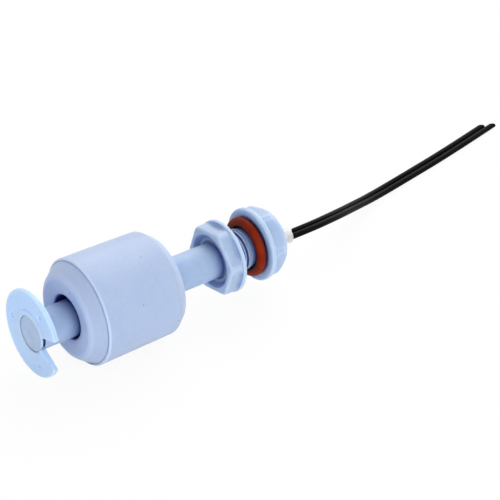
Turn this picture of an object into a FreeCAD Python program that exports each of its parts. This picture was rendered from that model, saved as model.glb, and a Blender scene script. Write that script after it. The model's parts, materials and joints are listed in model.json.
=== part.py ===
# Float level switch, millimetres, +Z up.
#
# The switch lies on its float with the stem level along X. The float's stop is at
# the -X end and the two leads leave at the +X end. The origin is on the ground
# under the middle of the switch, leads left out.
#
# Places along the stem are stations: the distance from the flange's sealing face
# towards the float's stop. The hexagon, the potting and the leads lie at negative
# stations. at(station) turns a station into X.

import FreeCAD, Part

import math
import os

from FreeCAD import Vector

# ---- moulded housing: stem, thread, flange and hexagon in one piece ----
thread_d = 10.0
thread_length = 10.4
thread_lead_in = 0.7
relief_d = 9.5
relief_length = 2.8
stem_d = 8.4
stem_wall = 1.6
stem_length = 59.2
stem_tip_round = 0.4
end_wall = 3.6
flange_d = 17.5
flange_thickness = 1.2
flange_round = 0.45
hex_across_flats = 15.0
hex_height = 4.8
hex_dome_length = 1.2
hex_dome_inset = 1.2
hex_turn = 10.0
potting_wall = 1.8
potting_depth = 9.0

# ---- snap-on stop for the float ----
clip_d = 20.4
clip_thickness = 1.2
clip_web = 0.6
clip_edge_round = 0.2
clip_mouth_angle = 47.0
clip_mouth_direction = 186.0
clip_collar_width = 1.2
clip_collar_height = 0.15
clip_dimple_d = 1.3
clip_dimple_depth = 0.25
clip_dimple_circle_d = 15.0
clip_dimple_angles = (-63.0, 63.0, 180.0)
groove_depth = 0.6
groove_play = 0.05
tip_land = 0.5

# ---- flanged nut ----
nut_across_flats = 15.0
nut_hex_height = 3.2
nut_flange_d = 17.3
nut_flange_thickness = 0.95
nut_station = 7.25
nut_thread_clearance = 0.05
nut_flange_round = 0.3
nut_chamfer = 0.3
nut_recess_d = 12.2
nut_recess_depth = 1.3
nut_countersink = 0.5

# ---- O-ring ----
ring_section_d = 2.35
ring_play = 0.03

# ---- float ----
float_d = 25.0
float_play = 0.85
float_seat_gap = 0.3
float_wall = 1.2
float_tube_wall = 1.0
float_barrel_length = 19.3
float_draft = 0.35
float_crown_height = 3.35
float_crown_slope = 1.35
float_crown_dip = 0.5
float_crown_round = 1.8
float_lip_width = 0.35
float_lip_height = 0.2
float_mouth_round = 0.5
float_rim_round = 0.2
float_station = 25.5
cap_thickness = 2.2
cap_bevel = 1.7
cap_plate = 1.3
spigot_length = 2.0
spigot_wall = 0.9
joint_gap = 0.05
stop_gap = 0.1

# ---- ring magnet, trapped between the float's shoulder and the cap's collar ----
magnet_d = 18.0
magnet_length = 6.0
magnet_shoulder_length = 8.2
magnet_bore_gap = 0.08
magnet_end_gap = 0.3
collar_wall = 1.2

# ---- reed contact and its wiring, inside the stem ----
reed_end_gap = 1.9
glass_length = 13.0
glass_d = 2.2
glass_wall = 0.3
glass_seal = 0.6
glass_round = 0.88
glass_hollow_round = 0.64
blade_width = 0.9
blade_thickness = 0.2
blade_overlap = 1.2
contact_gap = 0.08
pin_d = 0.5
pin_length = 4.6
pin_root = 0.3
reed_sleeve_wall = 0.2
reed_sleeve_overhang = 0.8
inner_gap = 0.2
wire_d = 0.6
splice_length = 2.4
splice_gap = 0.1
solder_cover = 0.12
solder_round = 0.57
joint_sleeve_wall = 0.2
joint_sleeve_overhang = 0.8
return_sleeve_wall = 0.2
return_sleeve_setback = 4.5
return_sleeve_end_setback = 2.25
return_rise_station = 6.0
return_rise_length = 8.0
return_drop_length = 1.8

# ---- potting ----
potting_mound_length = 5.5
potting_mound_d = 6.2
potting_waist_d = 4.4
potting_tip_d = 3.45
potting_tip_round = 0.5
potting_waist_share = 0.3

# ---- leads ----
lead_d = 1.45
lead_a_route = [
    (29.0, 0.81, 10.3),
    (40.5, 0.6, 10.3),
    (51.3, 3.55, 8.35),
    (61.3, 9.2, 4.25),
    (71.6, 14.05, 0.98),
    (84.2, 16.6, 0.74),
    (101.2, 19.8, 0.74),
    (117.9, 23.65, 0.74),
]
lead_b_route = [
    (29.0, -0.81, 10.3),
    (40.7, -1.05, 10.3),
    (51.9, 1.95, 8.35),
    (61.9, 7.65, 4.25),
    (72.0, 12.4, 0.98),
    (84.5, 14.9, 0.74),
    (102.3, 18.2, 0.74),
    (120.6, 22.45, 0.74),
]
arc_reach_share = 0.45
least_route_radius = 5 * lead_d

# ---- what follows from the sizes above ----
head_length = flange_thickness + hex_height
float_bore_d = stem_d + 2 * float_play
float_tube_d = float_bore_d + 2 * float_tube_wall
float_axis_z = float_d / 2
float_rim = float_station + cap_thickness + float_barrel_length
float_crown = float_rim + float_crown_height
cap_edge_r = float_d / 2 - float_draft
magnet_front = float_crown - float_wall - magnet_shoulder_length
stem_axis_z = float_axis_z - (float_play - float_seat_gap)
wire_bore_d = stem_d - 2 * stem_wall
potting_bore_d = thread_d - 2 * potting_wall
bore_end = stem_length - end_wall
groove_width = clip_web + groove_play
groove_station = stem_length - tip_land - groove_width
nut_front = nut_station + nut_flange_thickness + nut_hex_height
clip_top = groove_station + clip_thickness + clip_collar_height
sealing_face_x = (clip_top - head_length - potting_mound_length) / 2
lead_exit_z = lead_a_route[0][2]

X_AXIS = Vector(1, 0, 0)


def at(station):
    """X of a station."""
    return sealing_face_x - station


def on_stem(station, y=0.0, z=0.0):
    """A point given by its station and its offsets from the stem's axis."""
    return Vector(at(station), y, stem_axis_z + z)


def rod(station_a, station_b, diameter, y=0.0, z=0.0):
    """A round bar between two stations, beside or on the stem's axis."""
    low, high = min(station_a, station_b), max(station_a, station_b)
    return Part.makeCylinder(diameter / 2, high - low, on_stem(high, y, z), X_AXIS)


def turned(profile, axis_z):
    """A solid turned about a level axis from (station, radius) corners."""
    corners = [Vector(at(s), 0, axis_z + r) for s, r in profile]
    face = Part.Face(Part.makePolygon(corners + corners[:1]))
    return face.revolve(Vector(0, 0, axis_z), X_AXIS, 360)


def hexagon(station_a, station_b, across_flats):
    """A hexagonal bar between two stations, turned by hex_turn about the stem."""
    radius = across_flats / math.sqrt(3)
    corners = []
    for k in range(7):
        angle = math.radians(60 * k + 30 + hex_turn)
        corners.append(on_stem(station_b, radius * math.sin(angle), radius * math.cos(angle)))
    face = Part.Face(Part.makePolygon(corners))
    return face.extrude(X_AXIS * (station_b - station_a))


def round_edges(solid, radius, station, edge_radius):
    """Fillet the round edges of one radius at one station."""
    chosen = []
    for edge in solid.Edges:
        box = edge.BoundBox
        at_station = max(abs(box.XMin - at(station)), abs(box.XMax - at(station))) < 0.01
        if edge.Closed and at_station and abs(box.YLength / 2 - edge_radius) < 0.01:
            chosen.append(edge)
    return solid.makeFillet(radius, chosen)


def round_rims(disc, radius):
    """Fillet both rims of a plain disc."""
    rims = [edge for edge in disc.Edges if isinstance(edge.Curve, Part.Circle)]
    return disc.makeFillet(radius, rims)


def smooth_path(points):
    """Straight runs joined by tangent arcs, and the arcs' radii."""
    points = [Vector(*p) for p in points]
    edges, radii = [], []
    start = points[0]
    for before, corner, after in zip(points, points[1:], points[2:]):
        back, ahead = before - corner, after - corner
        run = min(back.Length, ahead.Length)
        back.normalize()
        ahead.normalize()
        half_turn = (math.pi - back.getAngle(ahead)) / 2
        reach = arc_reach_share * run
        radius = reach / math.tan(half_turn)
        enter, leave = corner + back * reach, corner + ahead * reach
        to_centre = back + ahead
        to_centre.normalize()
        middle = corner + to_centre * (radius / math.cos(half_turn) - radius)
        edges.append(Part.LineSegment(start, enter).toShape())
        edges.append(Part.Arc(enter, middle, leave).toShape())
        radii.append(radius)
        start = leave
    edges.append(Part.LineSegment(start, points[-1]).toShape())
    return Part.Wire(edges), radii


def tube(points, diameter):
    """A round solid along a smooth path, with its length and tightest radius."""
    path, radii = smooth_path(points)
    first = path.Edges[0]
    ring = Part.makeCircle(diameter / 2, first.valueAt(first.FirstParameter),
                           first.tangentAt(first.FirstParameter))
    solid = path.makePipeShell([Part.Wire([ring])], True, True, 2)
    return solid, path.Length, min(radii)


def make_housing():
    """Stem, thread, flange and hexagon, with the blind bore for the contact."""
    stem_r, thread_r, relief_r = stem_d / 2, thread_d / 2, relief_d / 2
    groove_r = stem_r - groove_depth
    outside = [
        (stem_length, 0),
        (stem_length, stem_r),
        (groove_station + groove_width, stem_r),
        (groove_station + groove_width, groove_r),
        (groove_station, groove_r),
        (groove_station, stem_r),
        (thread_length, stem_r),
        (thread_length, thread_r - thread_lead_in),
        (thread_length - thread_lead_in, thread_r),
        (relief_length + thread_r - relief_r, thread_r),
        (relief_length, relief_r),
        (0, relief_r),
        (0, flange_d / 2),
        (-flange_thickness, flange_d / 2),
        (-flange_thickness, 0),
    ]
    body = turned(outside, stem_axis_z)
    body = round_edges(body, stem_tip_round, stem_length, stem_r)
    body = round_edges(body, flange_round, 0, flange_d / 2)
    body = round_edges(body, flange_round, -flange_thickness, flange_d / 2)
    body = body.fuse(make_head())
    body = body.cut(rod(-head_length, bore_end, wire_bore_d))
    body = body.cut(rod(-head_length, potting_depth - head_length, potting_bore_d))
    return body.removeSplitter()


def make_head():
    """The spanner hexagon, its corners turned off towards the leads."""
    flat_r = hex_across_flats / 2
    slope = hex_dome_inset / hex_dome_length
    dome = [
        (0, 0),
        (0, flat_r + slope * (head_length - hex_dome_length)),
        (-head_length, flat_r - hex_dome_inset),
        (-head_length, 0),
    ]
    bar = hexagon(-head_length, -flange_thickness / 2, hex_across_flats)
    return bar.common(turned(dome, stem_axis_z))


def make_nut():
    """A hexagon nut: a round flange on its sealing side, a round recess in its front."""
    bore_r = thread_d / 2 + nut_thread_clearance
    corner_r = nut_across_flats / math.sqrt(3)
    wide_r, narrow_r = corner_r + nut_chamfer, corner_r - nut_chamfer
    trimmed = [
        (nut_station, 0),
        (nut_station, wide_r),
        (nut_front - 2 * nut_chamfer, wide_r),
        (nut_front, narrow_r),
        (nut_front, 0),
    ]
    body = hexagon(nut_station, nut_front, nut_across_flats)
    body = body.common(turned(trimmed, stem_axis_z))
    flange = rod(nut_station, nut_station + nut_flange_thickness, nut_flange_d)
    body = body.fuse(round_rims(flange, nut_flange_round))
    floor = nut_front - nut_recess_depth
    opening = [
        (nut_station, 0),
        (nut_station, bore_r + nut_countersink),
        (nut_station + nut_countersink, bore_r),
        (floor, bore_r),
        (floor, nut_recess_d / 2),
        (nut_front, nut_recess_d / 2),
        (nut_front, 0),
    ]
    return body.cut(turned(opening, stem_axis_z)).removeSplitter()


def make_o_ring():
    """The seal that sits in the relief, against the flange."""
    middle_r = (relief_d + ring_section_d) / 2 + ring_play
    centre = on_stem(ring_section_d / 2 + ring_play)
    return Part.makeTorus(middle_r, ring_section_d / 2, centre, X_AXIS)


def clip_point(radius, angle, station):
    """A point on the clip, by its angle from the middle of the mouth."""
    turn = math.radians(clip_mouth_direction + angle)
    return on_stem(station, radius * math.cos(turn), radius * math.sin(turn))


def make_clip():
    """A round snap-on stop: open at one side, its web in the groove, the stem's tip in
    its counterbore, and a raised collar round that."""
    back, front = groove_station, groove_station + clip_thickness
    half = clip_mouth_angle / 2
    hole_d = stem_d - 2 * groove_depth + 2 * groove_play
    land_d = stem_d + 2 * groove_play
    body = round_rims(rod(back, front, clip_d), clip_edge_round)
    body = body.fuse(rod(front, clip_top, land_d + 2 * clip_collar_width))
    body = body.cut(rod(back + clip_web, clip_top, land_d)).cut(rod(back, front, hole_d))
    wedge = [clip_point(0, 0, clip_top)]
    wedge += [clip_point(clip_d, side, clip_top) for side in (-half, half)]
    mouth = Part.Face(Part.makePolygon(wedge + wedge[:1]))
    body = body.cut(mouth.extrude(X_AXIS * (clip_top - back)))
    for angle in clip_dimple_angles:
        centre = clip_point(clip_dimple_circle_d / 2, angle, front)
        dimple = Part.makeCylinder(clip_dimple_d / 2, clip_dimple_depth, centre, X_AXIS)
        body = body.cut(dimple)
    return body


def crown_r(station, offset):
    """Radius of the crown's cone at a station, or of the cone set inwards from it."""
    foot_r = float_d / 2 - float_lip_width
    inward = offset * math.hypot(1, float_crown_slope)
    return foot_r - (station - float_rim + float_lip_height + inward) / float_crown_slope


def make_float_shell():
    """The moulded cup: barrel, crowned front and the tube that runs on the stem."""
    outer_r, tube_r, bore_r = float_d / 2, float_tube_d / 2, float_bore_d / 2
    inner_r = outer_r - float_wall
    foot = float_rim - float_lip_height
    mouth = float_crown - float_crown_dip
    ceiling = float_crown - float_wall
    seam = float_station + cap_thickness + joint_gap
    inner_foot = foot + float_crown_slope * (float_wall - float_lip_width)
    inner_foot -= float_wall * math.hypot(1, float_crown_slope)
    shell = turned([
        (float_station, bore_r),
        (mouth, bore_r),
        (float_crown, crown_r(float_crown, 0)),
        (foot, outer_r - float_lip_width),
        (float_rim, outer_r - float_lip_width),
        (float_rim, outer_r),
        (seam, cap_edge_r),
        (seam, inner_r),
        (inner_foot, inner_r),
        (ceiling, crown_r(ceiling, float_wall)),
        (ceiling, tube_r + collar_wall),
        (magnet_front + magnet_end_gap, tube_r + collar_wall),
        (magnet_front + magnet_end_gap, tube_r),
        (float_station, tube_r),
    ], float_axis_z)
    shell = round_edges(shell, float_crown_round, float_crown, crown_r(float_crown, 0))
    shell = round_edges(shell, float_mouth_round, mouth, bore_r)
    return round_edges(shell, float_rim_round, float_rim, outer_r)


def make_float_cap():
    """The welded cap: bevelled plate, spigot in the barrel, collar on the magnet."""
    inner_r = float_tube_d / 2 + joint_gap
    plate_top = float_station + cap_thickness
    spigot_r = float_d / 2 - float_wall - joint_gap
    collar_end = magnet_front - magnet_length - magnet_end_gap
    return turned([
        (float_station, inner_r),
        (collar_end, inner_r),
        (collar_end, inner_r + collar_wall),
        (float_station + cap_plate, inner_r + collar_wall),
        (float_station + cap_plate, spigot_r - spigot_wall),
        (plate_top + spigot_length, spigot_r - spigot_wall),
        (plate_top + spigot_length, spigot_r),
        (plate_top, spigot_r),
        (plate_top, cap_edge_r),
        (float_station, cap_edge_r - cap_bevel),
    ], float_axis_z)


def make_magnet():
    """A plain ring on the float's tube."""
    inner_r = float_tube_d / 2 + magnet_bore_gap
    back = magnet_front - magnet_length
    return turned([
        (back, inner_r),
        (magnet_front, inner_r),
        (magnet_front, magnet_d / 2),
        (back, magnet_d / 2),
    ], float_axis_z)


# ---- wiring places, as offsets from the stem's axis ----
reed_sleeve_d = glass_d + 2 * reed_sleeve_wall
reed_z = -(wire_bore_d / 2 - reed_sleeve_d / 2 - inner_gap)
return_z = wire_bore_d / 2 - wire_d / 2 - return_sleeve_wall - inner_gap
splice_offset = (pin_d + wire_d) / 2 + splice_gap
solder_d = splice_offset + (pin_d + wire_d) / 2 + 2 * solder_cover
lead_start = sealing_face_x - lead_a_route[0][0]
far_glass = bore_end - reed_end_gap - pin_length
near_glass = far_glass - glass_length
reed_station = far_glass - glass_length / 2
near_splice = near_glass - pin_length
far_splice = far_glass + pin_length - splice_length
return_end = far_splice - return_drop_length


def make_blade(towards):
    """One magnetic blade: a flat tongue in the glass and a round pin outside it."""
    end = reed_station + towards * glass_length / 2
    root = end - towards * glass_seal
    tip = reed_station - towards * blade_overlap / 2
    lift = towards * (blade_thickness + contact_gap) / 2
    corner = on_stem(max(root, tip), -blade_width / 2, reed_z + lift - blade_thickness / 2)
    tongue = Part.makeBox(abs(root - tip), blade_width, blade_thickness, corner)
    return tongue.fuse(rod(root - towards * pin_root, end + towards * pin_length, pin_d, 0, reed_z))


def capsule(station_a, station_b, diameter, end_round, y, z):
    """A round bar with well-rounded ends."""
    return round_rims(rod(station_a, station_b, diameter, y, z), end_round)


def make_glass(blades):
    """The sealed glass capsule, closed round both blades."""
    glass = capsule(near_glass, far_glass, glass_d, glass_round, 0, reed_z)
    hollow = capsule(near_glass + glass_seal, far_glass - glass_seal,
                     glass_d - 2 * glass_wall, glass_hollow_round, 0, reed_z)
    glass = glass.cut(hollow)
    for blade in blades:
        glass = glass.cut(blade)
    return glass


def make_sleeve(station_a, station_b, inner_d, wall, y, z):
    """A thin tube of insulation."""
    outer = rod(station_a, station_b, inner_d + 2 * wall, y, z)
    return outer.cut(rod(station_a, station_b, inner_d, y, z))


def make_conductor_a():
    """The stripped end of lead A, laid beside the near blade's pin."""
    y, z = lead_a_route[0][1], lead_exit_z - stem_axis_z
    route = [
        on_stem(lead_start, y, z),
        on_stem(near_splice - splice_length, splice_offset, reed_z),
        on_stem(near_splice + splice_length, splice_offset, reed_z),
    ]
    return tube(route, wire_d)[0]


def make_conductor_b():
    """The stripped end of lead B, run over the glass to the far blade's pin."""
    y, z = lead_b_route[0][1], lead_exit_z - stem_axis_z
    route = [
        on_stem(lead_start, y, z),
        on_stem(return_rise_station, y, z),
        on_stem(return_rise_station + return_rise_length, 0, return_z),
        on_stem(return_end, 0, return_z),
        on_stem(far_splice, 0, reed_z + splice_offset),
        on_stem(far_splice + splice_length, 0, reed_z + splice_offset),
    ]
    return tube(route, wire_d)[0]


def make_solder(station, y, z, wires):
    """The bead round a pin and a conductor."""
    bead = capsule(station, station + splice_length, solder_d, solder_round, y, z)
    for wire in wires:
        bead = bead.cut(wire)
    return bead


def make_potting(wires):
    """The resin: a plug in the hexagon and a mound that narrows onto the leads."""
    plug = rod(-head_length, potting_depth - head_length, potting_bore_d)
    drop = lead_exit_z - stem_axis_z
    shoulder = potting_mound_length - potting_tip_round
    sections = [
        (0, potting_mound_d, 0),
        (potting_waist_share * potting_mound_length, potting_waist_d, potting_waist_share * drop),
        (shoulder, potting_tip_d, drop),
    ]
    rings = []
    for reach, diameter, z in sections:
        centre = on_stem(-head_length - reach, 0, z)
        rings.append(Part.Wire([Part.makeCircle(diameter / 2, centre, X_AXIS)]))
    tip = Part.makeCone(potting_tip_d / 2, potting_tip_d / 2 - potting_tip_round,
                        potting_tip_round, on_stem(-head_length - shoulder, 0, drop), X_AXIS)
    mound = Part.makeLoft(rings, True, False).fuse(tip)
    resin = plug.fuse(mound)
    for wire in wires:
        resin = resin.cut(wire)
    return resin


def make_lead(name, route):
    """A lead's insulation along its route, with what the route measures."""
    solid, length, tightest = tube(route, lead_d)
    share = solid.Volume / (math.pi * lead_d ** 2 / 4 * length)
    print(f"{name}: {length:.1f} mm long, tightest radius {tightest:.1f} mm, "
          f"volume {share:.4f} of section times length")
    if tightest < least_route_radius:
        print(f"{name}: a bend is tighter than {least_route_radius} mm")
    return solid


def make_all():
    """Every piece, by its node's name."""
    near_blade, far_blade = make_blade(-1), make_blade(1)
    lead_a, lead_b = make_lead("lead_a", lead_a_route), make_lead("lead_b", lead_b_route)
    conductor_a, conductor_b = make_conductor_a(), make_conductor_b()
    splice_middle = splice_offset / 2
    return {
        "stem_housing": make_housing(),
        "hex_nut": make_nut(),
        "o_ring": make_o_ring(),
        "retaining_clip": make_clip(),
        "float_shell": make_float_shell(),
        "float_cap": make_float_cap(),
        "ring_magnet": make_magnet(),
        "reed_glass": make_glass([near_blade, far_blade]),
        "reed_blade_near": near_blade,
        "reed_blade_far": far_blade,
        "reed_sleeve": make_sleeve(near_glass - reed_sleeve_overhang,
                                   far_glass + reed_sleeve_overhang,
                                   glass_d, reed_sleeve_wall, 0, reed_z),
        "conductor_a": conductor_a,
        "conductor_b": conductor_b,
        "solder_joint_a": make_solder(near_splice, splice_middle, reed_z,
                                      [near_blade, conductor_a]),
        "solder_joint_b": make_solder(far_splice, 0, reed_z + splice_middle,
                                      [far_blade, conductor_b]),
        "joint_sleeve": make_sleeve(near_splice - joint_sleeve_overhang,
                                    near_splice + splice_length + joint_sleeve_overhang,
                                    solder_d, joint_sleeve_wall, splice_middle, reed_z),
        "return_sleeve": make_sleeve(
            return_rise_station + return_rise_length + return_sleeve_setback,
            return_end - return_sleeve_end_setback,
            wire_d, return_sleeve_wall, 0, return_z),
        "potting": make_potting([lead_a, lead_b, conductor_a, conductor_b]),
        "lead_a": lead_a,
        "lead_b": lead_b,
    }


def print_travel():
    """How far the float slides each way from where it stands."""
    to_stop = groove_station - float_crown - stop_gap
    to_nut = float_station - max(nut_front, thread_length) - stop_gap
    print(f"float travel: {to_stop:.2f} mm to the stop, {to_nut:.2f} mm to the nut")


def main():
    os.makedirs("parts", exist_ok=True)
    print_travel()
    for name, solid in make_all().items():
        box = solid.BoundBox
        print(f"{name}: {len(solid.Solids)} solid, valid {solid.isValid()}, "
              f"{solid.Volume:.2f} mm3, X {box.XMin:.2f} {box.XMax:.2f}, "
              f"Z {box.ZMin:.2f} {box.ZMax:.2f}")
        solid.exportStep(f"parts/{name}.step")


main()
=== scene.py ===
# %% [markdown]
# # A float level switch, dressed in Blender
#
# A float level switch hangs in a tank by its threaded end. A hollow float with a ring
# magnet inside rides on a plastic stem, and the magnet closes a small glass contact
# sealed in the stem. Two leads carry the signal out of the tank.
#
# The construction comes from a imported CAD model. This script keeps every size and
# place of it and gives each piece its finished surface: rounded mouldings, a real
# helical thread, cast resin, extruded leads and the materials they are made of.

import json
import math

import bpy
import numpy as np
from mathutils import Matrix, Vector


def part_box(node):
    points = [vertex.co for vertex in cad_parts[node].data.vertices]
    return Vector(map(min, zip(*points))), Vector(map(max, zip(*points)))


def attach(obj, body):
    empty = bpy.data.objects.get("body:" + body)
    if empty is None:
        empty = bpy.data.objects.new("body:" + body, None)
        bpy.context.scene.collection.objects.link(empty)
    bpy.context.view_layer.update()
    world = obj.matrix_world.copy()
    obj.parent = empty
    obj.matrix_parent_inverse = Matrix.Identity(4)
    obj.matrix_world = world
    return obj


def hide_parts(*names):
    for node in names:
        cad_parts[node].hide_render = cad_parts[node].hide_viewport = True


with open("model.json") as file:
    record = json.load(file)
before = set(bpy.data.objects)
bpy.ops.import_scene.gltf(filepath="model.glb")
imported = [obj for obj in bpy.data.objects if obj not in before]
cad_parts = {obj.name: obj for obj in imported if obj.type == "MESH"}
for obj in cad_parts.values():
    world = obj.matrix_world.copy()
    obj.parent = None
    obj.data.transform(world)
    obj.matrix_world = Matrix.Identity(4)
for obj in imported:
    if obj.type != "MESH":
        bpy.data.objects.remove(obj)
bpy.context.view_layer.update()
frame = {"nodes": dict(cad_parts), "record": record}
MM = 0.001
print("CAD nodes:", sorted(frame["nodes"]))

# %% [markdown]
# ## Where things are
#
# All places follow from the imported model. The sealing face of the flange is a mount
# in the record, so its position gives both the stem's axis and the zero from which
# stations are counted. A station is the distance from that face towards the float's
# stop, as on a drawing of a turned part. The leads' end lies at negative stations.

# %% Axes and stations
mounts = {mount["name"]: mount for mount in frame["record"]["mounts"]}
seal_x, _, stem_z = mounts["sealing_face"]["pos_m"]
thread_r = mounts["panel_thread"]["dims"]["r_mm"] * MM


def centre_of(node):
    """Middle of a CAD node's box."""
    low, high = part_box(node)
    return (low + high) / 2


def at(station):
    """X of a station: the sealing face's X less the station."""
    return seal_x - station


def station_of(x):
    """Station of an X, the other way round."""
    return seal_x - x


float_z = centre_of("float_shell").z
stem_tip = station_of(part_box("stem_housing")[0].x)
head_end = station_of(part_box("stem_housing")[1].x)
print(f"stem axis {stem_z / MM:.2f} mm up, tip at station {stem_tip / MM:.2f} mm")

# %% [markdown]
# ## Camera
#
# The camera comes first, because everything later is judged through it. It looks
# down at the stop's end from the front left. It stands half a metre away with a long
# lens, which keeps the stem's lines nearly parallel.

# %% Camera
VIEW_AZIMUTH = math.radians(-37.1)
VIEW_ELEVATION = math.radians(32.58)
VIEW_DISTANCE = 500 * MM
VIEW_TARGET = Vector((22.58, -1.80, 12.0)) * MM
LENS_MM = 157.74


def make_camera():
    """A camera on a sphere round its target, by azimuth and elevation."""
    data = bpy.data.cameras.new("camera")
    data.lens = LENS_MM
    data.sensor_width = 36.0
    data.clip_start, data.clip_end = 0.01, 20.0
    camera = bpy.data.objects.new("camera", data)
    bpy.context.scene.collection.objects.link(camera)
    back = Vector((
        math.sin(VIEW_AZIMUTH) * math.cos(VIEW_ELEVATION),
        -math.cos(VIEW_AZIMUTH) * math.cos(VIEW_ELEVATION),
        math.sin(VIEW_ELEVATION),
    ))
    camera.location = VIEW_TARGET + back * VIEW_DISTANCE
    camera.rotation_mode = "QUATERNION"
    camera.rotation_quaternion = (-back).to_track_quat("-Z", "Y")
    bpy.context.scene.camera = camera
    return camera


camera = make_camera()
bpy.context.scene.view_settings.view_transform = "Standard"
print("camera at", [round(c / MM) for c in camera.location], "mm")

# %% [markdown]
# ## Grids and sections
#
# Every new piece is a grid of points: one direction runs along a section's outline,
# the other round an axis or along a path. numpy works out the whole grid at once,
# and only the finished arrays go into Blender. The helpers round a section's corners,
# sew a grid into a closed mesh that faces outwards, lay a UV map over it, mark how
# sharply it bends, and carry an outline round an axis.
#
# Next to a pole the grid ends in a tiny ring, and a moulded edge that looks sharp is
# still rounded a little. Both sizes are shared by all pieces.

# %% Outline of a section
POLE_R = 0.2 * MM
FINE_EDGE = 0.1 * MM


def rounded(corners, steps=6, closed=False):
    """An outline whose corners are arcs. A corner (x, r, radius) is cut back from its
    point by radius / tan(half the corner's angle) along both sides, and the arc
    between is swept evenly round its centre. A corner with radius 0 stays a point."""
    points = []
    count = len(corners)
    for index, (x, r, radius) in enumerate(corners):
        here = np.array([x, r])
        at_end = not closed and index in (0, count - 1)
        if radius == 0 or at_end:
            points.append(here[None, :])
            continue
        back = np.array(corners[index - 1][:2]) - here
        ahead = np.array(corners[(index + 1) % count][:2]) - here
        back, ahead = back / np.linalg.norm(back), ahead / np.linalg.norm(ahead)
        half = math.acos(np.clip(back @ ahead, -1, 1)) / 2
        middle = (back + ahead) / np.linalg.norm(back + ahead)
        centre = here + middle * radius / math.sin(half)
        start = here + back * radius / math.tan(half) - centre
        stop = here + ahead * radius / math.tan(half) - centre
        sweep = math.pi - 2 * half
        share = np.linspace(0, 1, steps + 1)[:, None]
        arc = (np.sin((1 - share) * sweep) * start + np.sin(share * sweep) * stop) / math.sin(sweep)
        points.append(centre + arc)
    return np.concatenate(points)


def refined(outline, longest, closed=False):
    """The outline with points added on its long sides, so that no side is longer
    than the given length."""
    if closed:
        outline = np.concatenate([outline, outline[:1]])
    steps = np.maximum(1, np.ceil(np.linalg.norm(np.diff(outline, axis=0), axis=1) / longest))
    pieces = [
        start + (stop - start) * (np.arange(n) / n)[:, None]
        for start, stop, n in zip(outline[:-1], outline[1:], steps.astype(int))
    ]
    if not closed:
        pieces.append(outline[-1:])
    return np.concatenate(pieces)


# %% Faces that point outwards
def outward(points, faces):
    """The faces, turned over if they enclose a negative volume. Each face is split
    into triangles from its first corner, and the volume is the sum of the
    tetrahedra that they make with the origin."""
    volume = 0.0
    for size in {len(face) for face in faces}:
        same = np.array([face for face in faces if len(face) == size])
        first = points[same[:, 0]]
        for k in range(1, size - 1):
            cross = np.cross(points[same[:, k]], points[same[:, k + 1]])
            volume += np.einsum("ij,ij->i", first, cross).sum()
    return faces if volume > 0 else [face[::-1] for face in faces]


# %% UV map along the grid
def lay_uv(mesh, grid):
    """A UV map that follows the grid: U is the share of the way round a row, V the
    distance down the rows in metres. Where a face crosses the seam, its corners on
    the far side get a whole round added, so that no face folds back."""
    rows, columns = grid.shape[:2]
    step = np.linalg.norm(np.roll(grid[:, 0], -1, axis=0) - grid[:, 0], axis=1)
    down = np.concatenate([[0.0], np.cumsum(step)])
    u = np.tile(np.arange(columns) / columns, rows)
    v = np.repeat(down[:-1], columns)
    extra = len(mesh.vertices) - rows * columns
    u = np.append(u, np.full(extra, 0.5))
    v = np.append(v, [down[0], down[-2]][:extra])
    corner = np.empty(len(mesh.loops), dtype=np.int32)
    mesh.loops.foreach_get("vertex_index", corner)
    first = np.empty(len(mesh.polygons), dtype=np.int32)
    mesh.polygons.foreach_get("loop_start", first)
    sizes = np.diff(np.append(first, len(corner)))
    uv = []
    for value, round_trip in ((u[corner], 1.0), (v[corner], down[-1])):
        largest = np.repeat(np.maximum.reduceat(value, first), sizes)
        uv.append(value + round_trip * (largest - value > round_trip / 2))
    layer = mesh.uv_layers.new(name="surface")
    layer.data.foreach_set("uv", np.stack(uv, axis=-1).ravel())


# %% Marking the rounded edges
EDGE_REACH = 0.6 * MM


def bends(grid, axis, normal):
    """How sharply the grid turns at each point along one direction, in degrees: the
    angle between the step to it and the step from it, positive on an outer edge and
    negative in an inner corner. Where a step is longer than the reach it counts 0, so
    that only rounded edges and corners are marked. Three neighbours round the ring are
    averaged."""
    before = grid - np.roll(grid, 1, axis=axis)
    after = np.roll(grid, -1, axis=axis) - grid
    lengths = np.linalg.norm(before, axis=2), np.linalg.norm(after, axis=2)
    scale = np.maximum(lengths[0] * lengths[1], 1e-18)
    cosine = np.clip((before * after).sum(axis=2) / scale, -1, 1)
    side = np.sign(((before - after) * normal).sum(axis=2))
    near = np.maximum(*lengths) < EDGE_REACH
    bend = np.degrees(np.arccos(cosine)) * side * near
    return (np.roll(bend, 1, axis=1) + bend + np.roll(bend, -1, axis=1)) / 3


def mark_edges(mesh, grid):
    """Stores the bend along the rows and round them as the mesh's own attribute."""
    rows, columns = grid.shape[:2]
    normal = np.empty(len(mesh.vertices) * 3)
    mesh.vertex_normals.foreach_get("vector", normal)
    normal = normal.reshape(-1, 3)[:rows * columns].reshape(rows, columns, 3)
    bend = bends(grid, 0, normal) + bends(grid, 1, normal)
    extra = len(mesh.vertices) - rows * columns
    layer = mesh.attributes.new("bend", "FLOAT", "POINT")
    layer.data.foreach_set("value", np.append(bend.ravel(), np.zeros(extra)))


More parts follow.
